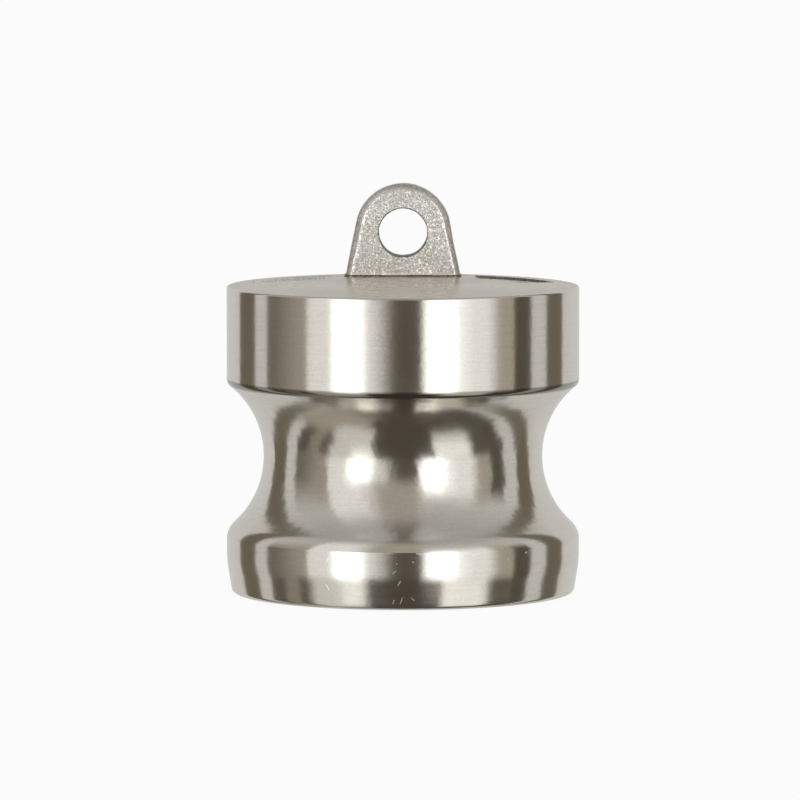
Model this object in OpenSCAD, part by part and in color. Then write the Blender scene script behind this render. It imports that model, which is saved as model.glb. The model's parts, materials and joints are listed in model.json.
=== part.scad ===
// Dust plug for a cam-lever hose coupling, three-quarter inch size.
// The rim stands on z = 0, the plug's axis is Z, and the eye lug stands on the crown towards +Y.

/* [Plug body] */
// Outside diameter of the nose and of the crown band
tip_d = 32.1; // [27:0.1:40]
// Height of the turned body, from the rim to the top of the crown
body_h = 28; // [24:0.5:36]
// Radius on the outer edge of the crown
crown_edge_r = 0.5; // [0.2:0.1:0.8]

/* [Cam groove] */
// Depth of the groove that the cams pull against
groove_depth = 3.35; // [2.4:0.05:4.2]
// Radius of the groove's arc
groove_arc_r = 8.3; // [7:0.1:9.2]
// Height of the deepest line of the groove above the rim
groove_z = 12.5; // [12:0.1:14.5]
// Radius on the band's lower edge, where it breaks into the groove
band_edge_r = 0.7; // [0.3:0.1:1]
// Radius of the rounded shoulder between the groove and the nose
shoulder_r = 1.5; // [0.8:0.1:2]

/* [Nose] */
// Height of the tapered lead-in at the rim
lead_h = 3.1; // [2:0.1:3.6]
// Angle of the lead-in from the plug's axis
lead_angle = 8.5; // [4:0.5:14]
// Radius on the outer edge of the rim
nose_edge_r = 0.5; // [0.2:0.1:0.8]

/* [Hollow] */
// Wall between the bottom of the groove and the hollow
wall_t = 2.7; // [1.8:0.1:3.4]
// Thickness of the closed crown over the hollow
crown_t = 4; // [2.5:0.1:6]
// Draft of the cast wall, which narrows towards the crown
hollow_draft = 1; // [0.5:0.5:3]
// Fillet where the hollow's wall meets the crown
hollow_corner_r = 2; // [0.8:0.1:3]
// Chamfer on the mouth of the hollow
mouth_chamfer = 0.5; // [0.2:0.1:0.9]

/* [Crown panels] */
// Crown left outside each sunk panel
panel_rim_w = 1.55; // [1:0.05:2.5]
// Width of each panel along the radius
panel_w = 3.15; // [1.5:0.05:3.6]
// Depth of each panel
panel_depth = 0.3; // [0.1:0.05:0.6]
// Gap between the foot of the lug and the end of a panel
panel_gap = 0.55; // [0.3:0.05:1]
// Angle from the lug's middle to the far end of each panel
panel_end_a = 73; // [55:1:110]

/* [Eye lug] */
// Thickness of the lug
lug_t = 2.8; // [2:0.1:3.6]
// Crown left between the back of the lug and the edge of the crown
lug_rim_w = 1.95; // [1.7:0.05:3]
// Diameter of the eye
eye_d = 4.5; // [3:0.1:6]
// Height of the eye's centre above the crown
eye_h = 4.2; // [3.6:0.1:7]
// Metal round the eye, measured along the arch's radius
eye_wall = 2.25; // [1.6:0.05:2.6]
// Slope of the lug's sides from upright
lug_side_a = 11.3; // [5:0.1:14]
// Bevel round the lug's front and back edges
lug_bevel = 0.4; // [0.1:0.1:0.6]
// Chamfer at both ends of the eye
eye_chamfer = 0.2; // [0.1:0.05:0.4]

/* [Hidden] */
cut_over = 1; // how far a cut runs past the face that it opens
blend_lap = 0.001; // how far a round reaches past the faces that it joins, so that they cross cleanly
turned_fn = 128;
arch_fn = 32;

tip_r = tip_d / 2;
floor_r = tip_r - groove_depth;
arc_x = floor_r + groove_arc_r; // centre of the groove's arc, from the plug's axis
lead_r = tip_r - lead_h * tan(lead_angle); // sharp outer corner of the rim

hollow_top = body_h - crown_t;
hollow_mid_r = floor_r - wall_t;
hollow_top_r = hollow_mid_r - (hollow_top - groove_z) * tan(hollow_draft);
hollow_mouth_r = hollow_mid_r + groove_z * tan(hollow_draft);

lug_back_y = tip_r - lug_rim_w;
lug_front_y = lug_back_y - lug_t;
lug_arch_r = eye_d / 2 + eye_wall;
lug_foot_w = 2 * (lug_arch_r / cos(lug_side_a) + eye_h * tan(lug_side_a));

panel_out_r = tip_r - panel_rim_w;
panel_start_a = atan((lug_foot_w / 2 + panel_gap) / lug_front_y);

// Waste outside a round of radius r, where two straight edges leave a corner at these angles
module corner_waste(corner, edge_a, edge_b, r) {
    half_a = abs(edge_b - edge_a) / 2;
    mid_a = (edge_a + edge_b) / 2;
    centre = corner + r / sin(half_a) * [cos(mid_a), sin(mid_a)];
    run = r / tan(half_a);
    outside = corner - r * [cos(mid_a), sin(mid_a)];
    difference() {
        polygon([centre, corner + run * [cos(edge_a), sin(edge_a)], outside,
                 corner + run * [cos(edge_b), sin(edge_b)]]);
        translate(centre) circle(r + blend_lap, $fn = turned_fn);
    }
}

// Waste outside a round of radius r, where the groove's arc meets the outside diameter;
// side is 1 above the groove and -1 below it
module groove_edge_waste(r, side) {
    reach = groove_arc_r + r;
    across = arc_x - tip_r + r;
    centre = [tip_r - r, groove_z + side * sqrt(reach * reach - across * across)];
    to_land = [r, 0];
    to_groove = r / reach * ([arc_x, groove_z] - centre);
    difference() {
        polygon([centre, centre + to_land, centre + to_land + to_groove, centre + to_groove]);
        translate(centre) circle(r + blend_lap, $fn = turned_fn);
    }
}

// Half section of the turned outside, axis at x = 0
module outside_section() {
    difference() {
        polygon([[0, 0], [lead_r, 0], [tip_r, lead_h], [tip_r, body_h], [0, body_h]]);
        translate([arc_x, groove_z]) circle(groove_arc_r, $fn = turned_fn);
        groove_edge_waste(band_edge_r, 1);
        groove_edge_waste(shoulder_r, -1);
        corner_waste([lead_r, 0], 90 - lead_angle, 180, nose_edge_r);
        corner_waste([tip_r, body_h], 180, 270, crown_edge_r);
    }
}

// Half section of the cast hollow, with its mouth run past the rim
module hollow_section() {
    over_r = hollow_mouth_r + cut_over * tan(hollow_draft);
    flare = hollow_mouth_r + mouth_chamfer;
    difference() {
        polygon([[0, -cut_over], [over_r, -cut_over], [hollow_top_r, hollow_top], [0, hollow_top]]);
        corner_waste([hollow_top_r, hollow_top], 180, 270 + hollow_draft, hollow_corner_r);
    }
    polygon([[0, -cut_over], [flare + cut_over, -cut_over], [0, flare]]);
}

// One sunk panel, from the lug's side round to its far end, clockwise from +Y
module crown_panel() {
    translate([0, 0, body_h - panel_depth])
        rotate([0, 0, 90 - panel_end_a])
            rotate_extrude(angle = panel_end_a - panel_start_a, $fn = turned_fn)
                translate([panel_out_r - panel_w, 0]) square([panel_w, panel_depth + cut_over]);
}

// The lug's outer form, moved in by inset all round and by inset at the front and back
module lug_form(inset) {
    depth = lug_t - 2 * (lug_bevel - inset);
    translate([0, lug_front_y + lug_bevel - inset, body_h]) {
        translate([0, 0, eye_h]) rotate([-90, 0, 0]) cylinder(h = depth, r = lug_arch_r - inset, $fn = arch_fn);
        translate([-lug_foot_w / 2 + inset, 0, 0]) cube([lug_foot_w - 2 * inset, depth, lug_bevel]);
    }
}

module plug_body() {
    color("silver")
    difference() {
        rotate_extrude($fn = turned_fn) difference() {
            outside_section();
            hollow_section();
        }
        crown_panel();
        mirror([1, 0, 0]) crown_panel();
    }
}

module eye_lug() {
    color("lightgray")
    difference() {
        hull() {
            lug_form(0);
            lug_form(lug_bevel);
        }
        translate([-lug_foot_w, lug_front_y - cut_over, body_h - lug_arch_r])
            cube([2 * lug_foot_w, lug_t + 2 * cut_over, lug_arch_r]);
        translate([0, lug_front_y, body_h + eye_h]) rotate([-90, 0, 0]) {
            translate([0, 0, -cut_over]) cylinder(h = lug_t + 2 * cut_over, d = eye_d, $fn = turned_fn);
            cylinder(h = eye_chamfer, r1 = eye_d / 2 + eye_chamfer, r2 = eye_d / 2, $fn = turned_fn);
            translate([0, 0, lug_t - eye_chamfer])
                cylinder(h = eye_chamfer, r1 = eye_d / 2, r2 = eye_d / 2 + eye_chamfer, $fn = turned_fn);
        }
    }
}

plug_body();
eye_lug();
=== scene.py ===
import json
import math
import bmesh
import bpy
from mathutils import Matrix, Vector, noise


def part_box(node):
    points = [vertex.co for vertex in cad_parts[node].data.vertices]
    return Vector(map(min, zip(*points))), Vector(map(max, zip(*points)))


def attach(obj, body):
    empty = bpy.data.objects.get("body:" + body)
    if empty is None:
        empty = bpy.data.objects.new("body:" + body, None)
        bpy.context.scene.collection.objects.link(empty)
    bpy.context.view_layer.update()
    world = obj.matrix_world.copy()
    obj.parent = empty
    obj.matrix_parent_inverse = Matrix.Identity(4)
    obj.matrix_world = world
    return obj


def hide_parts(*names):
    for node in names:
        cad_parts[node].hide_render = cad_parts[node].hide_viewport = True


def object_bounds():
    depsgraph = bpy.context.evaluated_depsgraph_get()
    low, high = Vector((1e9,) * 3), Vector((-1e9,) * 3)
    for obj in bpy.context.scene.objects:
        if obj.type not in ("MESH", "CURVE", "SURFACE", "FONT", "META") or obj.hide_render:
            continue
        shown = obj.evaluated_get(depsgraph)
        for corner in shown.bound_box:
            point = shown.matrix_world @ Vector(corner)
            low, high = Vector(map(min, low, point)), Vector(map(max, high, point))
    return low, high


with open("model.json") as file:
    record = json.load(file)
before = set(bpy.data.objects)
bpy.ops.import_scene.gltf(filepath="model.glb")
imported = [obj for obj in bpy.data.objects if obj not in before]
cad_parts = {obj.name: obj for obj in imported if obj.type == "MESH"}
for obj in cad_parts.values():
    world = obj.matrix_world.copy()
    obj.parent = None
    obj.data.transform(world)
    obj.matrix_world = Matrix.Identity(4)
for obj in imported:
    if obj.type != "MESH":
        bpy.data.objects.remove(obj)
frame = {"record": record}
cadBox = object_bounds()
mm = 0.001  # the sizes below are in millimetres, and Blender's are in metres
mounts = {mount["name"]: mount for mount in frame["record"]["mounts"]}
outsideRadius = mounts["coupler_band"]["dims"]["r_mm"]  # of the band and the nose
grooveHeight = mounts["cam_groove"]["pos_m"][2] / mm


def linear(hexColour):
    # sRGB hex to the linear colour that a shader takes
    values = [int(hexColour[i:i + 2], 16) / 255 for i in (1, 3, 5)]
    return [v / 12.92 if v <= 0.04045 else ((v + 0.055) / 1.055) ** 2.4 for v in values] + [1.0]


def addNode(tree, kind, sockets=(), **settings):
    # adds one node; sockets is a list in the node's order, or maps an input's name or number, to a value or
    # to the output that feeds it, and a node in it stands for that node's first output in use
    node = tree.nodes.new(kind)
    for name, value in settings.items():
        setattr(node, name, value)
    for key, value in (sockets.items() if isinstance(sockets, dict) else enumerate(sockets)):
        if isinstance(value, bpy.types.Node):
            value = next(output for output in value.outputs if output.enabled)
        if isinstance(value, bpy.types.NodeSocket):
            tree.links.new(value, node.inputs[key])
        else:
            node.inputs[key].default_value = value
    return node


def overlap(tree, mask, *others):
    # 1 where every mask is 1, and 0 where any of them is 0
    for other in others:
        mask = addNode(tree, "ShaderNodeMath", [mask, other], operation="MULTIPLY")
    return mask


def newMaterial(name):
    material = bpy.data.materials.new(name)
    material.use_nodes = True
    material.node_tree.nodes.clear()
    return material, material.node_tree


def arc(centreX, centreZ, radius, fromAngle, toAngle, steps):
    # points along an arc, ends included, angles in degrees
    points = []
    for i in range(steps + 1):
        angle = math.radians(fromAngle + (toAngle - fromAngle) * i / steps)
        points.append((centreX + radius * math.cos(angle), centreZ + radius * math.sin(angle)))
    return points


def line(start, end, steps):
    # points along a straight line, without its start
    return [(start[0] + (end[0] - start[0]) * i / steps, start[1] + (end[1] - start[1]) * i / steps)
            for i in range(1, steps + 1)]


def smooth(value):
    # 0 to 1 with soft ends
    value = min(max(value, 0.0), 1.0)
    return value * value * (3 - 2 * value)


def addPiece(name, mesh):
    # makes an object in the scene from a mesh that is ready
    data = bpy.data.meshes.new(name)
    mesh.to_mesh(data)
    mesh.free()
    piece = bpy.data.objects.new(name, data)
    bpy.context.scene.collection.objects.link(piece)
    return piece


def finishPiece(piece, node):
    # nothing on the plug moves, so each piece rides the root and stands in for its CAD node
    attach(piece, "root")
    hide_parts(node)


plugBody = {
    "bodyHeight": 28.0,
    "crownEdgeRadius": 0.22,
    "crownLip": 12.0,  # angle at which the crown's edge round meets the band, so that the line stays crisp
    "bandLip": 4.0,  # angle at which the band's lower round starts, so that its edge stays crisp
    "shoulderLip": 13.0,  # the same at the shoulder's edge
    "grooveDepth": 3.35,
    "grooveArcRadius": 8.3,
    "bandEdgeRadius": 0.7,
    "shoulderRadius": 2.3,
    "leadHeight": 2.9,
    "leadAngle": 9.5,
    "leadRadius": 8.5,  # the long round between the land and the lead-in
    "noseEdgeRadius": 0.5,
    "wall": 2.7,  # at the groove's floor
    "crownThickness": 4.0,
    "hollowDraft": 1.0,
    "hollowCornerRadius": 2.0,
    "mouthChamfer": 0.5,
    "panelRimWidth": 1.55,
    "panelWidth": 3.15,
    "panelDepths": (0.27, 0.36),  # left and right of the lug
    "panelStartAngle": 28.0,  # from the lug's middle to the near end of each panel
    "panelEndAngle": 73.0,
    "panelWallWidth": 0.16,  # the sloping cast wall round each panel
    "panelWallScale": 0.09,  # painted shade: how far it comes down the right panel's outer wall, in the dark copy of the cast steel
    "panelEndScale": 0.7,  # how much of each panel's far end gets that painted shade
    "facedDepth": 0.036,  # the facing tool didn't reach what is deeper than this in the crown
    "segments": 450,
    "crownStep": 0.8,  # between the crown's rings
    "wallMargin": 0.12,  # the rings are closer at the panels' walls, and this far on both sides of them
    "innerRing": 1.0,  # radius of the last ring on the hollow's roof
}


def panelSpan(plug):
    # inner and outer radius of the two panels
    outer = outsideRadius - plug["panelRimWidth"]
    return outer - plug["panelWidth"], outer


def crownRadii(plug, edgeX):
    # radii of the crown's rings, out to where its edge round starts
    inner, outer = panelSpan(plug)
    wall, margin, step = plug["panelWallWidth"], plug["wallMargin"], plug["crownStep"]
    radii = [step * i for i in range(1, int(inner / step))]
    for wallStart in (inner, outer - wall):
        radii += [wallStart - margin + (wall + 2 * margin) * i / 9 for i in range(10)]
    radii += [inner + wall + (plug["panelWidth"] - 2 * wall) * i / 9 for i in range(2, 8)]
    radii += [outer + (edgeX - outer) * i / 5 for i in range(1, 6)]
    return sorted({round(radius, 4) for radius in radii})


def bodyProfile(plug):
    # half section from the crown's centre down the outside, over the rim and up the hollow;
    # each stretch is (finish, whether it starts with a crisp edge, points)
    floorRadius = outsideRadius - plug["grooveDepth"]
    arcX = floorRadius + plug["grooveArcRadius"]

    def grooveEdge(radius, lip, side):
        # centre of the round where the groove meets the outside diameter, and the angle where they touch
        centreX = outsideRadius - radius * math.cos(math.radians(lip))
        reach = plug["grooveArcRadius"] + radius
        across = arcX - centreX
        rise = side * math.sqrt(reach ** 2 - across ** 2)
        return centreX, grooveHeight + rise, math.degrees(math.atan2(-rise, across))

    top = plug["bodyHeight"]
    crownEdge, crownLip = plug["crownEdgeRadius"], plug["crownLip"]
    bandLip, shoulderLip = plug["bandLip"], plug["shoulderLip"]
    edgeX = outsideRadius - crownEdge * math.cos(math.radians(crownLip))
    bandX, bandZ, bandTouch = grooveEdge(plug["bandEdgeRadius"], bandLip, 1)
    shoulderX, shoulderZ, shoulderTouch = grooveEdge(plug["shoulderRadius"], shoulderLip, -1)
    lead = math.radians(plug["leadAngle"])
    leadRadius = plug["leadRadius"]
    leadCentreZ = plug["leadHeight"] + leadRadius * math.tan(lead / 2)
    cornerX = outsideRadius - plug["leadHeight"] * math.tan(lead)
    nose = plug["noseEdgeRadius"]
    noseX = cornerX + nose * math.tan(lead) - nose / math.cos(lead)
    draft = math.radians(plug["hollowDraft"])
    hollowTop = top - plug["crownThickness"]
    wallX = floorRadius - plug["wall"]
    mouthX = wallX + grooveHeight * math.tan(draft)
    topX = wallX - (hollowTop - grooveHeight) * math.tan(draft)
    corner = plug["hollowCornerRadius"]
    cornerCentreX = topX + corner * math.tan(draft) - corner / math.cos(draft)
    chamfer = plug["mouthChamfer"]

    crown = [(radius, top) for radius in crownRadii(plug, edgeX)]
    crownRound = arc(edgeX, top - crownEdge, crownEdge, 90, crownLip, steps=8)[1:]
    bandRound = arc(bandX, bandZ, plug["bandEdgeRadius"], -bandLip, bandTouch, steps=8)
    band = line(crownRound[-1], bandRound[0], steps=4)
    groove = arc(arcX, grooveHeight, plug["grooveArcRadius"], 180 + bandTouch, 180 + shoulderTouch,
                 steps=64)[1:]
    shoulder = arc(shoulderX, shoulderZ, plug["shoulderRadius"], shoulderTouch, shoulderLip, steps=14)[1:]
    leadRound = arc(outsideRadius - leadRadius, leadCentreZ, leadRadius, 0, -plug["leadAngle"], steps=10)
    land = line(shoulder[-1], leadRound[0], steps=6)
    noseRound = arc(noseX, nose, nose, -plug["leadAngle"], -90, steps=10)
    leadIn = leadRound[1:] + line(leadRound[-1], noseRound[0], steps=6)
    rim = line(noseRound[-1], (mouthX + chamfer, 0.0), steps=8)
    mouth = line(rim[-1], (mouthX, chamfer), steps=3)
    hollowRound = arc(cornerCentreX, hollowTop - corner, corner, plug["hollowDraft"], 90, steps=10)
    hollow = line(mouth[-1], hollowRound[0], steps=12) + hollowRound[1:]
    hollow += line(hollow[-1], (plug["innerRing"], hollowTop), steps=5)
    return [("faced", False, crown), ("turned", False, crownRound), ("turned", True, band),
            ("turned", True, bandRound[1:] + groove + shoulder), ("turned", True, land),
            ("turned", False, leadIn), ("turned", False, noseRound[1:] + rim), ("turned", True, mouth),
            ("cast", True, hollow)]


def panelDepthAt(plug, radius, angle):
    # how far the crown is sunk at this place; angle is in radians round from the right
    inner, outer = panelSpan(plug)
    wall = plug["panelWallWidth"]
    fromLug = abs(math.degrees(math.atan2(math.cos(angle), math.sin(angle))))
    fromEnd = math.radians(min(fromLug - plug["panelStartAngle"], plug["panelEndAngle"] - fromLug)) * radius
    share = smooth((radius - inner) / wall) * smooth((outer - radius) / wall) * smooth(fromEnd / wall)
    return plug["panelDepths"][int(math.cos(angle) > 0)] * share


def hasPaintedShade(plug, place):
    # whether a place in a panel gets the painted shade: at its end away from the lug, or high on the right
    # one's outer wall
    radius = place.xy.length / mm
    fromLug = abs(math.degrees(math.atan2(place.x, place.y)))
    fromEnd = math.radians(plug["panelEndAngle"] - fromLug) * radius
    fromWall = panelSpan(plug)[1] - radius
    return fromEnd < plug["panelEndScale"] or (place.x > 0 and fromWall < plug["panelWallScale"])


def buildBody(plug, materials):
    # the profile is spun round Z into one closed mesh
    count = plug["segments"]
    mesh = bmesh.new()
    rings, finishes, crispRings = [], [], []
    for finish, crisp, points in bodyProfile(plug):
        if crisp:
            crispRings.append(rings[-1])
        for radius, height in points:
            ring = []
            for i in range(count):
                angle = 2 * math.pi * i / count
                sunk = panelDepthAt(plug, radius, angle) if finish == "faced" else 0.0
                ring.append(mesh.verts.new((radius * math.cos(angle) * mm, radius * math.sin(angle) * mm,
                                            (height - sunk) * mm)))
            rings.append(ring)
            finishes.append(finish)
    order = ["turned", "faced", "cast", "scale"]
    asCast = (plug["bodyHeight"] - plug["facedDepth"]) * mm
    for a, b, finish in zip(rings, rings[1:], finishes[1:]):
        for i in range(count):
            j = (i + 1) % count
            face = mesh.faces.new((a[i], b[i], b[j], a[j]))
            skin = finish
            if finish == "faced" and min(vertex.co.z for vertex in face.verts) < asCast:
                # the panels' far ends and the right one's outer wall get painted shade, the rest of the sunk
                # crown the cast skin
                skin = "scale" if hasPaintedShade(plug, face.calc_center_median()) else "cast"
            face.material_index = order.index(skin)
            face.smooth = True
    for ring, finish, flip in ((rings[0], "faced", False), (rings[-1], "cast", True)):
        centre = mesh.verts.new((0, 0, ring[0].co.z))
        for i in range(count):
            j = (i + 1) % count
            corners = (centre, ring[j], ring[i]) if flip else (centre, ring[i], ring[j])
            face = mesh.faces.new(corners)
            face.material_index = order.index(finish)
            face.smooth = True
    for ring in crispRings:
        for i in range(count):
            mesh.edges.get((ring[i], ring[(i + 1) % count])).smooth = False
    piece = addPiece("turnedPlugBody", mesh)
    for finish in order:
        piece.data.materials.append(materials[finish])
    piece.modifiers.new("weightedNormals", "WEIGHTED_NORMAL").keep_sharp = True
    return piece


eyeLug = {
    "thickness": 2.8,
    "eyeHeight": 4.2,
    "eyeRadius": 2.25,
    "archRadius": 4.5,
    "sideAngle": 11.3,
    "bevelWidth": 0.5,  # the bevel that runs round both faces, and how far back the front one goes
    "bevelDepth": 0.38,  # the back one starts at mid thickness and ends this far before the back face
    "bevelFoot": 0.85,  # share of the bevel's width left at the foot
    "eyeDrop": 0.12,  # the cored hole sits a little low in the casting
    "eyeWobble": 0.05,  # how uneven the hole's edge is
    "eyeWobbleTurns": 1.7,  # how fast that changes round it
    "eyeWobblePlace": 4.0,  # where in the noise it is taken from
    "eyeSegments": 96,
    "draft": 3.0,
    "skin": 0.1,  # the casting's swells stand this far out of the drawn outline
    "footSink": 0.2,  # how far the lug's mesh goes into the crown
    "footLip": 0.1,  # cast metal left standing round the foot by the facing tool
    "footLipHeight": 0.1,
    "footLipInset": 0.05,
    "beadInset": 0.66,  # the raised line inside the bevel, worn bright
    "beadWidth": 0.1,
    "beadHeight": 0.06,
    "beadStart": 1.3,  # it fades out towards the top of the arch, from this far either side
    "beadFade": 1.5,
    "beadWear": (0.75, 2.6),  # how much of it is worn, and how much more on the grain's high places
    "faceLean": 0.6,  # a place is on a face, not on a side, where its normal leans this much that way
    "bevelShade": 0.85,  # painted shade on the bevel: how dark it is, how wide the change is, and the grain's part in it
    "bevelFade": 0.35,
    "shadeGrain": 0.5,
    "archShade": 0.25,  # painted shade, darker towards the top of the arch, from this far above the eye
    "archShadeStart": 1.5,
    "archShadeFade": 2.5,
    "scaleFoot": 0.18,  # height of the painted shade at the foot, and width of that round the eye
    "scaleRing": 0.08,
    "eyeWall": (0.55, 0.25),  # the eye's wall leans less than this, and lies less than this outside it
    "grainSize": 0.22,
    "grainDepth": 0.012,
    "swellSize": 2.2,
    "swellDepth": 0.04,
    "voxel": 0.07,
}


def lugOutline(lug, inset):
    # closed outline in X and Z, foot at z = -footSink, moved in by inset, and by less than that at the foot
    side = math.radians(lug["sideAngle"])
    radius = lug["archRadius"] - lug["skin"] - inset
    points = arc(0, lug["eyeHeight"], radius, lug["sideAngle"], 180 - lug["sideAngle"], steps=72)
    drop = lug["eyeHeight"] + lug["footSink"]
    footRadius = lug["archRadius"] - lug["skin"] - inset * lug["bevelFoot"]
    footX = footRadius / math.cos(side) + drop * math.tan(side)
    right, left = (footX, -lug["footSink"]), (-footX, -lug["footSink"])
    return [right] + points + [left]


def insideOutline(lug, x, z):
    # how far a place on the lug's face lies inside the outline
    side = math.radians(lug["sideAngle"])
    up = z - lug["eyeHeight"]
    if math.atan2(up, abs(x)) > side:
        return lug["archRadius"] - math.hypot(x, up)
    return lug["archRadius"] - abs(x) * math.cos(side) - up * math.sin(side)


def bevelShare(lug, z):
    # how much of the bevel's full width is there at this height
    return lug["bevelFoot"] + (1 - lug["bevelFoot"]) * min(max(z / lug["eyeHeight"], 0.0), 1.0)


def slab(mesh, layers):
    # joins closed loops of the same length into one solid with flat ends
    loops = [[mesh.verts.new(point) for point in layer] for layer in layers]
    for a, b in zip(loops, loops[1:]):
        for i in range(len(a)):
            j = (i + 1) % len(a)
            mesh.faces.new((a[i], a[j], b[j], b[i]))
    mesh.faces.new(list(reversed(loops[0])))
    mesh.faces.new(loops[-1])


def lugBlank(lug):
    # the lug without its eye, and the lip round its foot
    mesh = bmesh.new()
    thickness, bevelDepth = lug["thickness"], lug["bevelDepth"]
    half = thickness / 2
    layers = []
    for y, bevelled in ((0.0, True), (bevelDepth, False), (half, False), (thickness - bevelDepth, True),
                        (thickness, True)):
        inset = abs(y - half) * math.tan(math.radians(lug["draft"]))
        if bevelled:
            inset += lug["bevelWidth"]
        layers.append([(x, y, z) for x, z in lugOutline(lug, inset)])
    slab(mesh, layers)
    lipX = lugOutline(lug, 0)[0][0] - lug["footLipInset"] + lug["footLip"]
    lipY = half + lug["footLip"]
    slab(mesh, [[(a * lipX, half + b * lipY, z) for a, b in ((-1, -1), (1, -1), (1, 1), (-1, 1))]
                for z in (-lug["footSink"], lug["footLipHeight"])])
    bmesh.ops.recalc_face_normals(mesh, faces=mesh.faces)
    return addPiece("castEyeLug", mesh)


def makeEyeCutter(lug, eyeCentre):
    # a slightly uneven cylinder, as a cast hole is
    mesh = bmesh.new()
    turns = lug["eyeWobbleTurns"]
    rings = []
    for y in (-1.0, lug["thickness"] + 1.0):
        ring = []
        for i in range(lug["eyeSegments"]):
            angle = 2 * math.pi * i / lug["eyeSegments"]
            place = Vector((math.cos(angle) * turns, math.sin(angle) * turns, lug["eyeWobblePlace"]))
            radius = lug["eyeRadius"] + lug["eyeWobble"] * noise.noise(place)
            ring.append((radius * math.cos(angle), y, eyeCentre + radius * math.sin(angle)))
        rings.append(ring)
    slab(mesh, rings)
    bmesh.ops.recalc_face_normals(mesh, faces=mesh.faces)
    return addPiece("eyeCutter", mesh)


def cutAndSoften(lug, piece, cutter):
    # cuts the eye out, melts everything into one even skin and softens its edges
    remesh = piece.modifiers.new("remesh", "REMESH")
    remesh.mode = "VOXEL"
    remesh.voxel_size = lug["voxel"]
    cut = piece.modifiers.new("cutEye", "BOOLEAN")
    cut.object = cutter
    cut.operation = "DIFFERENCE"
    cut.solver = "EXACT"
    again = piece.modifiers.new("remeshAgain", "REMESH")
    again.mode = "VOXEL"
    again.voxel_size = lug["voxel"]
    soften = piece.modifiers.new("soften", "SMOOTH")
    soften.factor = 0.5
    soften.iterations = 2
    depsgraph = bpy.context.evaluated_depsgraph_get()
    finished = bpy.data.meshes.new_from_object(piece.evaluated_get(depsgraph))
    piece.modifiers.clear()
    piece.data = finished
    bpy.data.objects.remove(cutter)


def giveCastSkin(lug, mesh):
    # pimples the size of the mould's grain over a slow swell, and the raised line inside the bevel
    normals = [vertex.normal.copy() for vertex in mesh.vertices]
    wear = mesh.attributes.new("wear", "FLOAT", "POINT")
    shade = mesh.attributes.new("shade", "FLOAT", "POINT")
    wornShare, wornByGrain = lug["beadWear"]
    for vertex, normal in zip(mesh.vertices, normals):
        place = vertex.co
        grain = noise.fractal(place / lug["grainSize"], 0.6, 2.0, 3)
        swell = noise.noise(place / lug["swellSize"])
        lift = grain * lug["grainDepth"] + swell * lug["swellDepth"]
        inside = insideOutline(lug, place.x, place.z)
        beadInset = lug["beadInset"] * bevelShare(lug, place.z)
        # painted shade: the bevel, and the face towards the top of the arch, are darkened through the shade
        # attribute
        onBevel = smooth((beadInset - inside) / lug["bevelFade"])
        upArch = smooth((place.z - lug["eyeHeight"] - lug["archShadeStart"]) / lug["archShadeFade"])
        bevelPaintedShade = lug["bevelShade"] * onBevel * (1 + lug["shadeGrain"] * grain)
        shade.data[vertex.index].value = max(bevelPaintedShade, lug["archShade"] * upArch)
        if abs(normal.y) > lug["faceLean"]:
            fromBead = (inside - beadInset) / lug["beadWidth"]
            fromTop = (abs(place.x) - lug["beadStart"]) / lug["beadFade"]
            bead = math.exp(-fromBead * fromBead) * smooth(fromTop)
            lift += lug["beadHeight"] * bead
            wear.data[vertex.index].value = bead * smooth(wornShare + wornByGrain * grain)
        vertex.co = place + normal * lift


def buildLug(lug, skinMaterial, paintedShadeMaterial):
    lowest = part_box("eye_lug")[0]
    front, foot = lowest[1] / mm, lowest[2] / mm
    eyeCentre = lug["eyeHeight"] - lug["eyeDrop"]
    piece = lugBlank(lug)
    cutAndSoften(lug, piece, makeEyeCutter(lug, eyeCentre))
    mesh = piece.data
    giveCastSkin(lug, mesh)
    mesh.materials.clear()
    mesh.materials.append(skinMaterial)
    mesh.materials.append(paintedShadeMaterial)
    # painted shade: the eye's wall, a thin ring round it and the foot get the dark copy of the cast steel,
    # where shade falls
    wallLean, wallOutside = lug["eyeWall"]
    for polygon in mesh.polygons:
        middle = polygon.center
        fromEye = math.hypot(middle.x, middle.z - eyeCentre)
        inEye = abs(polygon.normal.y) < wallLean and fromEye < lug["eyeRadius"] + wallOutside
        atEye = fromEye < lug["eyeRadius"] + lug["scaleRing"]
        atFoot = middle.z < lug["scaleFoot"]
        polygon.material_index = int(inEye or atEye or atFoot)
        polygon.use_smooth = True
    mesh.transform(Matrix.Translation((0, front * mm, foot * mm)) @ Matrix.Scale(mm, 4))
    mesh.name = "castEyeLug"
    return piece


def lathePlace(tree):
    # where a point is on the lathe, in millimetres: its place, radius, height, direction round the axis
    # and distance round the surface from the front
    place = addNode(tree, "ShaderNodeTexCoord").outputs["Object"]
    inMm = addNode(tree, "ShaderNodeVectorMath", {0: place, "Scale": 1 / mm}, operation="SCALE")
    split = addNode(tree, "ShaderNodeSeparateXYZ", [inMm])
    flat = addNode(tree, "ShaderNodeVectorMath", [inMm, (1, 1, 0)], operation="MULTIPLY")
    radius = addNode(tree, "ShaderNodeVectorMath", [flat], operation="LENGTH")
    unit = addNode(tree, "ShaderNodeVectorMath", [flat], operation="NORMALIZE")
    towards = addNode(tree, "ShaderNodeMath", [split.outputs["Y"], -1.0], operation="MULTIPLY")
    turn = addNode(tree, "ShaderNodeMath", [split.outputs["X"], towards], operation="ARCTAN2")
    distance = addNode(tree, "ShaderNodeMath", [turn, radius], operation="MULTIPLY")
    return {"place": inMm, "radius": radius, "height": split.outputs["Z"], "distance": distance,
            "unit": addNode(tree, "ShaderNodeSeparateXYZ", [unit])}


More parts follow.
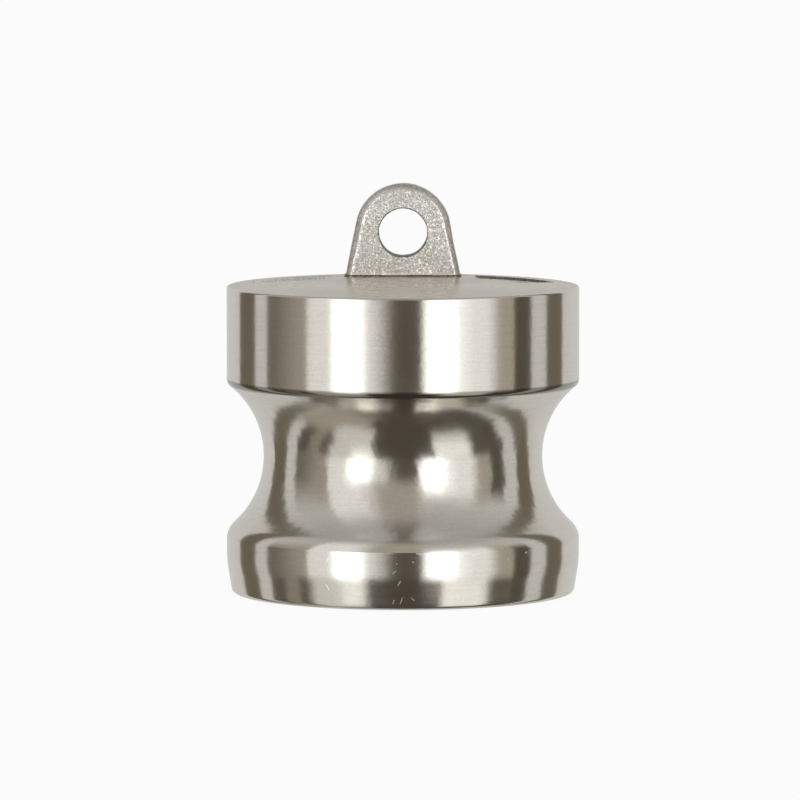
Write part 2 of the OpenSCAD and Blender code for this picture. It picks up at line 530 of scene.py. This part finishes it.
def toolLines(tree, lathe, pitch, sweep, detail):
    # noise drawn out round the axis: fine across the cut, long along it
    across = addNode(tree, "ShaderNodeCombineXYZ", [lathe["radius"], lathe["height"], 0.0])
    fine = addNode(tree, "ShaderNodeVectorMath", {0: across, "Scale": 1 / pitch}, operation="SCALE")
    roundX, roundY = [addNode(tree, "ShaderNodeMath", [lathe["unit"].outputs[axis], sweep],
                              operation="MULTIPLY") for axis in ("X", "Y")]
    drawnOut = addNode(tree, "ShaderNodeCombineXYZ", {"Z": roundX})
    vector = addNode(tree, "ShaderNodeVectorMath", [fine, drawnOut], operation="ADD")
    return addNode(tree, "ShaderNodeTexNoise",
                   {"Vector": vector, "W": roundY, "Scale": 1.0, "Detail": detail, "Roughness": 0.6},
                   noise_dimensions="4D")


def nicks(tree, lathe, mark):
    # one short straight mark in some of the cells of a random net laid round the surface; 1 on a mark
    flat = addNode(tree, "ShaderNodeCombineXYZ", [lathe["distance"], lathe["height"], 0.0])
    shift = (mark["shift"], mark["shift"], 0)
    moved = addNode(tree, "ShaderNodeVectorMath", [flat, shift], operation="ADD")
    cell = addNode(tree, "ShaderNodeTexVoronoi", {"Vector": moved, "Scale": 1 / mark["cell"]},
                   voronoi_dimensions="2D")
    forShare, forAngle, forLength = addNode(tree, "ShaderNodeSeparateColor", [cell.outputs["Color"]]).outputs
    local = addNode(tree, "ShaderNodeVectorMath", [moved, cell.outputs["Position"]], operation="SUBTRACT")
    least, most = [math.radians(angle) for angle in mark["angles"]]
    angle = addNode(tree, "ShaderNodeMapRange", [forAngle, 0.0, 1.0, least, most])
    aligned = addNode(tree, "ShaderNodeVectorRotate", {"Vector": local, "Angle": angle},
                      rotation_type="Z_AXIS")
    split = addNode(tree, "ShaderNodeSeparateXYZ", [aligned])
    along, beside = [addNode(tree, "ShaderNodeMath", [split.outputs[axis]], operation="ABSOLUTE")
                     for axis in ("X", "Y")]
    longest, width, share = mark["length"], mark["width"], mark["share"]
    length = addNode(tree, "ShaderNodeMapRange", [forLength, 0.0, 1.0, 0.3 * longest, longest])
    spare = addNode(tree, "ShaderNodeMath", [length, along], operation="SUBTRACT")
    ends = addNode(tree, "ShaderNodeMapRange", [spare, 0.0, 0.12, 0.0, 1.0])
    sides = addNode(tree, "ShaderNodeMapRange", [beside, 0.5 * width, width, 1.0, 0.0])
    wanted = addNode(tree, "ShaderNodeMapRange", [forShare, share - 0.001, share, 1.0, 0.0])
    lowest, highest = mark["heights"]
    above = addNode(tree, "ShaderNodeMapRange", [lathe["height"], lowest, lowest + 0.2, 0.0, 1.0])
    below = addNode(tree, "ShaderNodeMapRange", [lathe["height"], highest, highest + 0.4, 1.0, 0.0])
    return overlap(tree, ends, sides, wanted, above, below)


def scratch(tree, lathe, mark):
    # one straight mark at a set place: angle round from the front, height, lean from level, length and width
    angle, height, lean, length, width = mark
    flat = addNode(tree, "ShaderNodeCombineXYZ", [lathe["distance"], lathe["height"], 0.0])
    middle = (math.radians(angle) * outsideRadius, height, 0)
    local = addNode(tree, "ShaderNodeVectorMath", [flat, middle], operation="SUBTRACT")
    aligned = addNode(tree, "ShaderNodeVectorRotate", {"Vector": local, "Angle": -math.radians(lean)},
                      rotation_type="Z_AXIS")
    split = addNode(tree, "ShaderNodeSeparateXYZ", [aligned])
    along, beside = [addNode(tree, "ShaderNodeMath", [split.outputs[axis]], operation="ABSOLUTE")
                     for axis in ("X", "Y")]
    ends = addNode(tree, "ShaderNodeMapRange", [along, 0.3 * length, 0.5 * length, 1.0, 0.0])
    sides = addNode(tree, "ShaderNodeMapRange", [beside, 0.25 * width, 0.75 * width, 1.0, 0.0])
    return overlap(tree, ends, sides)


turnedSteel = {
    "colour": "#D0CCC5",
    "darkerColour": "#C6C2B9",
    "roughness": 0.145,
    "roughnessSpread": 0.02,
    "anisotropy": 0.72,
    "feedLinePitch": 0.16,  # real feed lines are about 0.08 apart, drawn twice as coarse so that they show
    "feedLineDepth": 0.0006,
    "chatterSize": 0.55,
    "chatterDepth": 0.003,
    "grainSize": 0.17,
    "stainSize": 1 / 0.35,  # slow patches, about 3 mm across, that are a little less bright
    "stainRoughness": 0.03,
    "swellSize": 2.2,  # slow waves left in the groove, where the tool's nose cuts on a wide front
    "swellDepth": 0.035,
    "swellStart": (15.9, 15.0),  # radius at which they begin, and are full
    # marks from handling: a few dents and hairlines, anywhere round the nose
    "dents": {"cell": 1.7, "shift": 7.0, "length": 0.5, "width": 0.06, "angles": (20, 160), "share": 0.07,
              "heights": (0.4, 4.8)},
    "hairlines": {"cell": 5.0, "shift": 40.0, "length": 2.2, "width": 0.04, "angles": (70, 110),
                  "share": 0.12, "heights": (0.6, 3.4)},
    # and a cluster at the front: (angle round from the front, height, lean, length, width)
    "scratches": [(-2.0, 4.25, 30, 0.2, 0.1), (3.2, 4.4, -20, 0.22, 0.1), (-2.7, 3.5, 44, 0.6, 0.07),
                  (-1.2, 2.5, 62, 0.62, 0.13), (3.1, 1.05, -42, 0.55, 0.07), (-3.0, 0.8, 72, 0.5, 0.1),
                  (26.0, 1.9, 87, 2.3, 0.06), (43.5, 4.8, 25, 0.3, 0.12), (-4.3, 5.16, 0, 0.8, 0.07),
                  (5.6, 5.14, 0, 0.9, 0.07), (9.0, 2.95, -2, 1.7, 0.05)],
    # the marks' colour, near white: partly their own, partly a painted glint
    "dentColour": "#F1EEE8",
    "dentRoughness": 0.5,
    # painted shade: a dark ring in the corner under the band, standing in for the dark reflection and shadow
    # there
    "residue": {"heights": (18.9, 19.66), "fade": 0.14, "colour": "#57524A", "strength": 0.66},
}


def makeTurnedSteel(steel):
    # stainless steel, turned on a lathe and wiped bright: long tight highlights across the cut,
    # sharp round the axis and blurred along it
    material, tree = newMaterial("stainlessSteelTurnedBright")
    lathe = lathePlace(tree)

    def unevenness(size, detail):
        return addNode(tree, "ShaderNodeTexNoise",
                       {"Vector": lathe["place"], "Scale": 1 / size, "Detail": detail})

    feed = toolLines(tree, lathe, steel["feedLinePitch"], sweep=6.0, detail=4.0)
    fromFeed = addNode(tree, "ShaderNodeMapRange", [feed, 0.35, 0.7, 0.0, 0.5])
    fromGrain = addNode(tree, "ShaderNodeMapRange",
                        [unevenness(steel["grainSize"], 2.0), 0.35, 0.65, 0.0, 0.5])
    mixed = addNode(tree, "ShaderNodeMath", [fromFeed, fromGrain], operation="ADD")
    tone = addNode(tree, "ShaderNodeMix", {"Factor": mixed, "A": linear(steel["colour"]),
                                           "B": linear(steel["darkerColour"])}, data_type="RGBA")
    least, most = [steel["roughness"] + sign * steel["roughnessSpread"] for sign in (-1, 1)]
    lined = addNode(tree, "ShaderNodeMapRange", [feed, 0.3, 0.7, least, most])
    stained = addNode(tree, "ShaderNodeMapRange",
                      [unevenness(steel["stainSize"], 4.0), 0.35, 0.7, 0.0, steel["stainRoughness"]])
    roughness = addNode(tree, "ShaderNodeMath", [lined, stained], operation="ADD")

    marks = nicks(tree, lathe, steel["dents"])
    others = [nicks(tree, lathe, steel["hairlines"])]
    others += [scratch(tree, lathe, mark) for mark in steel["scratches"]]
    for other in others:
        marks = addNode(tree, "ShaderNodeMath", [marks, other], operation="MAXIMUM")
    # painted shade, darkening the turned steel's colour in a thin ring just under the band
    residue = steel["residue"]
    low, high = residue["heights"]
    above = addNode(tree, "ShaderNodeMapRange",
                    [lathe["height"], low, low + residue["fade"], 0.0, residue["strength"]])
    below = addNode(tree, "ShaderNodeMapRange", [lathe["height"], high - residue["fade"], high, 1.0, 0.0])
    cornerShaded = addNode(tree, "ShaderNodeMix", {"Factor": overlap(tree, above, below), "A": tone,
                                              "B": linear(residue["colour"])}, data_type="RGBA")
    # the marks are real, and their near-white colour is partly a painted glint
    marked = addNode(tree, "ShaderNodeMix", {"Factor": marks, "A": cornerShaded,
                                             "B": linear(steel["dentColour"])}, data_type="RGBA")
    rough = addNode(tree, "ShaderNodeMix", {"Factor": marks, "A": roughness, "B": steel["dentRoughness"]})

    start, full = steel["swellStart"]
    inGroove = addNode(tree, "ShaderNodeMapRange", [lathe["radius"], full, start, 1.0, 0.0])
    swell = overlap(tree, unevenness(steel["swellSize"], 1.5), inGroove)
    normal = None
    for height, depth in ((swell, steel["swellDepth"]),
                          (unevenness(steel["chatterSize"], 2.0), steel["chatterDepth"]),
                          (feed, steel["feedLineDepth"])):
        sockets = {"Height": height, "Strength": 1.0, "Distance": depth * mm}
        if normal:
            sockets["Normal"] = normal
        normal = addNode(tree, "ShaderNodeBump", sockets)
    shader = addNode(tree, "ShaderNodeBsdfPrincipled", {
        "Base Color": marked, "Metallic": 1.0, "Roughness": rough, "Normal": normal,
        "Anisotropic": steel["anisotropy"], "Anisotropic Rotation": 0.25,
        "Tangent": addNode(tree, "ShaderNodeTangent", direction_type="RADIAL", axis="Z")})
    addNode(tree, "ShaderNodeOutputMaterial", {"Surface": shader})
    return material


facedSteel = {
    "colour": "#C6BEB1",
    "roughness": (0.23, 0.32),  # in the feed lines' lows and highs
    "anisotropy": 0.5,
    "feedLinePitch": 0.3,
    "feedLineDepth": 0.003,
    "grainSize": 0.25,
    "grainDepth": 0.003,
}


def makeFacedSteel(steel):
    # stainless steel, faced flat with a coarser feed: an even satin grey with faint rings
    material, tree = newMaterial("stainlessSteelFacedSatin")
    lathe = lathePlace(tree)
    feed = toolLines(tree, lathe, steel["feedLinePitch"], sweep=3.0, detail=3.0)
    grain = addNode(tree, "ShaderNodeTexNoise", {"Vector": lathe["place"], "Scale": 1 / steel["grainSize"],
                                                 "Detail": 3.0})
    rings = addNode(tree, "ShaderNodeBump",
                    {"Height": feed, "Strength": 1.0, "Distance": steel["feedLineDepth"] * mm})
    skin = addNode(tree, "ShaderNodeBump", {"Height": grain, "Strength": 1.0, "Normal": rings,
                                            "Distance": steel["grainDepth"] * mm})
    shader = addNode(tree, "ShaderNodeBsdfPrincipled", {
        "Base Color": linear(steel["colour"]), "Metallic": 1.0, "Normal": skin,
        "Roughness": addNode(tree, "ShaderNodeMapRange", [feed, 0.3, 0.7, *steel["roughness"]]),
        "Anisotropic": steel["anisotropy"], "Anisotropic Rotation": 0.25,
        "Tangent": addNode(tree, "ShaderNodeTangent", direction_type="RADIAL", axis="Z")})
    addNode(tree, "ShaderNodeOutputMaterial", {"Surface": shader})
    return material


castSkin = {
    "name": "stainlessSteelCastBlasted",
    "colour": "#F2F1EE",
    "pitColour": "#D8D6D0",
    "wornColour": "#FDFDFB",
    # colour of the painted shade on the bevel and at the top of the arch
    "shadeColour": "#ADA89D",
    "roughness": (0.46, 0.34),  # in the pits, and on the high places
    "wornRoughness": 0.24,
    "grainSize": 0.1,  # the mould's sand, a little coarser than real so that it shows
    "grainDepth": 0.008,
    "facetTilt": 0.28,  # how far each grain's own facet leans, which makes it sparkle
}
# a dark copy of the cast steel, standing in for shade: painted shade in the lug's eye, round it, at its foot
# and on the crown's panels
castPaintedShade = {
    "name": "stainlessSteelCastScale",
    "colour": "#8E887C",
    "pitColour": "#5F594F",
    "wornColour": "#A59F93",
    "shadeColour": "#6E685D",
    "roughness": (0.56, 0.44),
    "wornRoughness": 0.4,
    "grainSize": 0.12,
    "grainDepth": 0.01,
    "facetTilt": 0.2,
}


def makeCastSteel(steel):
    # stainless steel, investment cast: a matt pimpled skin, bright where it was blasted; its dark copy is
    # painted shade, laid where shade falls
    material, tree = newMaterial(steel["name"])
    place = addNode(tree, "ShaderNodeTexCoord").outputs["Object"]
    inMm = addNode(tree, "ShaderNodeVectorMath", {0: place, "Scale": 1 / mm}, operation="SCALE")
    grain = addNode(tree, "ShaderNodeTexNoise", {"Vector": inMm, "Scale": 1 / (2 * steel["grainSize"]),
                                                 "Detail": 3.0, "Roughness": 0.6})
    facet = addNode(tree, "ShaderNodeTexVoronoi", {"Vector": inMm, "Scale": 1 / steel["grainSize"]})
    lean = addNode(tree, "ShaderNodeVectorMath", [facet.outputs["Color"], (0.5, 0.5, 0.5)],
                   operation="SUBTRACT")
    leant = addNode(tree, "ShaderNodeVectorMath", {0: lean, "Scale": steel["facetTilt"]}, operation="SCALE")
    normal = addNode(tree, "ShaderNodeNewGeometry").outputs["Normal"]
    tilted = addNode(tree, "ShaderNodeVectorMath", [normal, leant], operation="ADD")
    sparkle = addNode(tree, "ShaderNodeVectorMath", [tilted], operation="NORMALIZE")
    skin = addNode(tree, "ShaderNodeBump", {"Height": grain, "Strength": 1.0, "Normal": sparkle,
                                            "Distance": steel["grainDepth"] * mm})
    high = addNode(tree, "ShaderNodeMapRange", [grain, 0.4, 0.6, 0.0, 1.0])
    tone = addNode(tree, "ShaderNodeMix", {"Factor": high, "A": linear(steel["pitColour"]),
                                           "B": linear(steel["colour"])}, data_type="RGBA")
    worn = addNode(tree, "ShaderNodeAttribute", attribute_name="wear").outputs["Fac"]
    shade = addNode(tree, "ShaderNodeAttribute", attribute_name="shade").outputs["Fac"]
    # painted shade, mixed in where the shade attribute says: the lug's bevel and the top of its arch
    shaded = addNode(tree, "ShaderNodeMix", {"Factor": shade, "A": tone,
                                             "B": linear(steel["shadeColour"])}, data_type="RGBA")
    worked = addNode(tree, "ShaderNodeMix", {"Factor": worn, "A": shaded,
                                             "B": linear(steel["wornColour"])}, data_type="RGBA")
    matt = addNode(tree, "ShaderNodeMapRange", [grain, 0.35, 0.65, *steel["roughness"]])
    rough = addNode(tree, "ShaderNodeMix", {"Factor": worn, "A": matt, "B": steel["wornRoughness"]})
    shader = addNode(tree, "ShaderNodeBsdfPrincipled", {
        "Base Color": worked, "Metallic": 1.0, "Roughness": rough, "Normal": skin})
    addNode(tree, "ShaderNodeOutputMaterial", {"Surface": shader})
    return material


studio = {
    "backdrop": "#F4F3F1",
    "backdropLevel": 0.88,
    "farLevel": 0.74,  # straight behind the object
    "farSides": (145, 172),
    "ceilingLevel": 0.62,
    "ceilingHeights": (25, 60),
    # boards and soft boxes, each from one side to the other in degrees round from the camera, positive to
    # the right, and from its lowest to its highest edge, with the widths of its faded edges and its level;
    # a later one covers those before it
    "cards": [
        {"name": "darkRoom", "sides": (-100, 76), "fades": (2, 2), "heights": (-90, 22),
         "heightFades": (1, 44), "colour": "#EBE0CD", "level": 0.26},
        {"name": "leftDim", "sides": (-82, -60), "fades": (30, 4), "heights": (-17, 30),
         "heightFades": (3, 40), "colour": "#EFE6D6", "level": 0.54},
        {"name": "rightDim", "sides": (58, 77.5), "fades": (8, 2), "heights": (-17, 30),
         "heightFades": (3, 30), "colour": "#EFE6D6", "level": 0.62},
        {"name": "leftSpill", "sides": (-65.5, -13), "fades": (2.5, 20), "heights": (-17, 54),
         "heightFades": (3, 32), "colour": "#FFFFFF", "level": 1.12},
        {"name": "rightSpill", "sides": (12, 62), "fades": (6, 12), "heights": (-17, 31),
         "heightFades": (3, 22), "colour": "#FFFFFF", "level": 1.2},
        {"name": "rightNearSpill", "sides": (13, 42), "fades": (8, 16), "heights": (-17, 22),
         "heightFades": (3, 14), "colour": "#FFFFFF", "level": 1.6},
        {"name": "leftSoftBox", "sides": (-46, -27), "fades": (10, 12), "heights": (-17, 10),
         "heightFades": (3, 20), "colour": "#FFFFFF", "level": 3.0},
        {"name": "rightSoftBox", "sides": (17, 34), "fades": (7, 8), "heights": (-17, 19),
         "heightFades": (3, 20), "colour": "#FFFFFF", "level": 3.0},
        {"name": "frontHaze", "sides": (-27, 15), "fades": (22, 14), "heights": (12, 62),
         "heightFades": (12, 40), "colour": "#F4EDE0", "level": 0.57},
        {"name": "frontGap", "sides": (-6, 12), "fades": (12, 4), "heights": (-90, 8),
         "heightFades": (1, 22), "colour": "#EFE2CE", "level": 0.15},
        {"name": "frontCeiling", "sides": (-20, 20), "fades": (36, 30), "heights": (62, 90),
         "heightFades": (30, 1), "colour": "#EFE6D6", "level": 0.28},
        # the dark table in front of the object, with the two soft boxes' glow on it
        {"name": "tableTop", "sides": (-100, 78), "fades": (2, 2), "heights": (-48, -17),
         "heightFades": (16, 3), "colour": "#EFE2CE", "level": 0.15},
        {"name": "tableNear", "sides": (-82, 99), "fades": (20, 10), "heights": (-90, -46),
         "heightFades": (1, 12), "colour": "#EFE2CE", "level": 0.13},
        {"name": "frontLow", "sides": (-22, 22), "fades": (10, 8), "heights": (-90, -17),
         "heightFades": (1, 3), "colour": "#EFE2CE", "level": 0.12},
        {"name": "leftFarStripe", "sides": (-87, -75), "fades": (4, 4), "heights": (-60, -17),
         "heightFades": (16, 3), "colour": "#F6ECDC", "level": 0.38},
        {"name": "leftLow", "sides": (-112, -38), "fades": (12, 14), "heights": (-70, -43),
         "heightFades": (14, 12), "colour": "#F6ECDC", "level": 0.52},
        {"name": "leftGlow", "sides": (-65, -28), "fades": (10, 8), "heights": (-54, -17),
         "heightFades": (14, 3), "colour": "#FFFEFA", "level": 0.86},
        {"name": "leftNearGlow", "sides": (-42, -25), "fades": (10, 7), "heights": (-28, -17),
         "heightFades": (16, 3), "colour": "#FFFEFA", "level": 1.4},
        {"name": "rightGlow", "sides": (27, 60), "fades": (7, 10), "heights": (-44, -17),
         "heightFades": (30, 3), "colour": "#FFFEFA", "level": 1.3},
        # black flags, which draw the dark lines near the object's sides
        {"name": "rightNearFlag", "sides": (77.5, 92.5), "fades": (1.5, 1.5), "heights": (-60, 25),
         "heightFades": (30, 22), "colour": "#F4E8CE", "level": 0.13},
        {"name": "rightFarFlag", "sides": (108, 128), "fades": (1.5, 1.5), "heights": (-60, 60),
         "heightFades": (30, 30), "colour": "#F4E6CC", "level": 0.22},
        {"name": "leftFarFlag", "sides": (-134, -113), "fades": (1.5, 1.5), "heights": (-60, 60),
         "heightFades": (30, 30), "colour": "#F4E6CC", "level": 0.22},
    ],
}


def buildStudio(setup):
    world = bpy.data.worlds.new("studio")
    bpy.context.scene.world = world
    world.use_nodes = True
    tree = world.node_tree
    tree.nodes.clear()
    direction = addNode(tree, "ShaderNodeTexCoord").outputs["Generated"]
    split = addNode(tree, "ShaderNodeSeparateXYZ", [direction])
    towards = addNode(tree, "ShaderNodeMath", [split.outputs["Y"], -1.0], operation="MULTIPLY")
    aside = addNode(tree, "ShaderNodeMath", [split.outputs["X"], towards], operation="ARCTAN2")
    rise = addNode(tree, "ShaderNodeMath", [split.outputs["Z"]], operation="ARCSINE")
    side = addNode(tree, "ShaderNodeMath", [aside], operation="DEGREES")
    height = addNode(tree, "ShaderNodeMath", [rise], operation="DEGREES")

    def window(value, edges, fades):
        # 1 between the two edges, faded to 0 over the given width at each
        steps = []
        for edge, fade, before, after in zip(edges, fades, (0.0, 1.0), (1.0, 0.0)):
            steps.append(addNode(tree, "ShaderNodeMapRange",
                                 [value, edge - fade / 2, edge + fade / 2, before, after],
                                 interpolation_type="SMOOTHSTEP"))
        return overlap(tree, *steps)

    def lit(hexColour, level):
        return [level * channel for channel in linear(hexColour)[:3]] + [1.0]

    around = addNode(tree, "ShaderNodeMath", [side], operation="ABSOLUTE")
    far = addNode(tree, "ShaderNodeMapRange", [around, *setup["farSides"], 0.0, 1.0])
    colour = addNode(tree, "ShaderNodeMix", {
        "Factor": far, "A": lit(setup["backdrop"], setup["backdropLevel"]),
        "B": lit(setup["backdrop"], setup["farLevel"])}, data_type="RGBA")
    ceiling = addNode(tree, "ShaderNodeMapRange", [height, *setup["ceilingHeights"], 0.0, 1.0])
    colour = addNode(tree, "ShaderNodeMix", {
        "Factor": ceiling, "A": colour,
        "B": lit(setup["backdrop"], setup["ceilingLevel"])}, data_type="RGBA")
    for card in setup["cards"]:
        mask = overlap(tree, window(side, card["sides"], card["fades"]),
                       window(height, card["heights"], card["heightFades"]))
        colour = addNode(tree, "ShaderNodeMix", {
            "Factor": mask, "A": colour, "B": lit(card["colour"], card["level"])},
            data_type="RGBA", label=card["name"])
    # the camera sees plain white round the object, and everything else sees the studio
    seen = addNode(tree, "ShaderNodeLightPath").outputs["Is Camera Ray"]
    shown = addNode(tree, "ShaderNodeMix", {"Factor": seen, "A": colour, "B": (1, 1, 1, 1)},
                    data_type="RGBA")
    background = addNode(tree, "ShaderNodeBackground", {"Color": shown, "Strength": 1.0})
    addNode(tree, "ShaderNodeOutputWorld", {"Surface": background})


floor = {
    "size": 6000.0,
    "colour": "#F2F1EF",
    "whiteShare": 0.93,  # how much of the floor's tone is plain white, so that its shadow stays light
}


def buildFloor(setup):
    # painted board, rolled matt white: no gloss at all, only the object's soft shadow
    material, tree = newMaterial("paintedFloorMattWhite")
    seen = addNode(tree, "ShaderNodeLightPath").outputs["Is Camera Ray"]
    paint = addNode(tree, "ShaderNodeBsdfDiffuse", {"Color": linear(setup["colour"])})
    white = addNode(tree, "ShaderNodeEmission", {"Color": (1, 1, 1, 1), "Strength": 1.0})
    share = addNode(tree, "ShaderNodeMath", [seen, setup["whiteShare"]], operation="MULTIPLY")
    top = addNode(tree, "ShaderNodeMixShader", [share, paint, white])
    # from below, the floor isn't there
    clear = addNode(tree, "ShaderNodeBsdfTransparent")
    below = addNode(tree, "ShaderNodeNewGeometry").outputs["Backfacing"]
    surface = addNode(tree, "ShaderNodeMixShader", [below, top, clear])
    addNode(tree, "ShaderNodeOutputMaterial", {"Surface": surface})
    half = setup["size"] / 2 * mm
    level = cadBox[0][2]
    corners = [(-half, -half, level), (half, -half, level), (half, half, level), (-half, half, level)]
    data = bpy.data.meshes.new("floor")
    data.from_pydata(corners, [], [(0, 1, 2, 3)])
    data.materials.append(material)
    piece = bpy.data.objects.new("floor", data)
    bpy.context.scene.collection.objects.link(piece)
    piece.visible_glossy = False  # the studio's own lower half stands in for it in the metal


camera = {
    "distance": 710.0,
    "elevation": 5.14,
    "lens": 350.5,
    "sensorWidth": 36.0,
    "target": (-0.27, 0.0, 17.54),
    "lookAt": (0.0, 0.0, 15.28),  # the camera stands off this place, and is aimed at target
    "clip": (10.0, 20000.0),
}


def buildCamera(setup):
    data = bpy.data.cameras.new("camera")
    data.lens = setup["lens"]
    data.sensor_width = setup["sensorWidth"]
    data.clip_start, data.clip_end = [distance * mm for distance in setup["clip"]]
    eye = bpy.data.objects.new("camera", data)
    bpy.context.scene.collection.objects.link(eye)
    tilt = math.radians(setup["elevation"])
    reach = Vector((0, -math.cos(tilt), math.sin(tilt))) * setup["distance"]
    eye.location = (Vector(setup["lookAt"]) + reach) * mm
    aim = Vector(setup["target"]) * mm - eye.location
    eye.rotation_euler = aim.to_track_quat("-Z", "Y").to_euler()
    bpy.context.scene.camera = eye


buildCamera(camera)
buildStudio(studio)
buildFloor(floor)
print("stage: camera, studio and floor")

# the cast steel's dark copy carries the painted shade
bodyFinishes = {"turned": makeTurnedSteel(turnedSteel), "faced": makeFacedSteel(facedSteel),
                "cast": makeCastSteel(castSkin), "scale": makeCastSteel(castPaintedShade)}
print("stage: materials")

finishPiece(buildBody(plugBody, bodyFinishes), "plug_body")
print("stage: turned body")

finishPiece(buildLug(eyeLug, bodyFinishes["cast"], bodyFinishes["scale"]), "eye_lug")
print("stage: cast eye lug")

bpy.context.scene.view_settings.view_transform = "Standard"
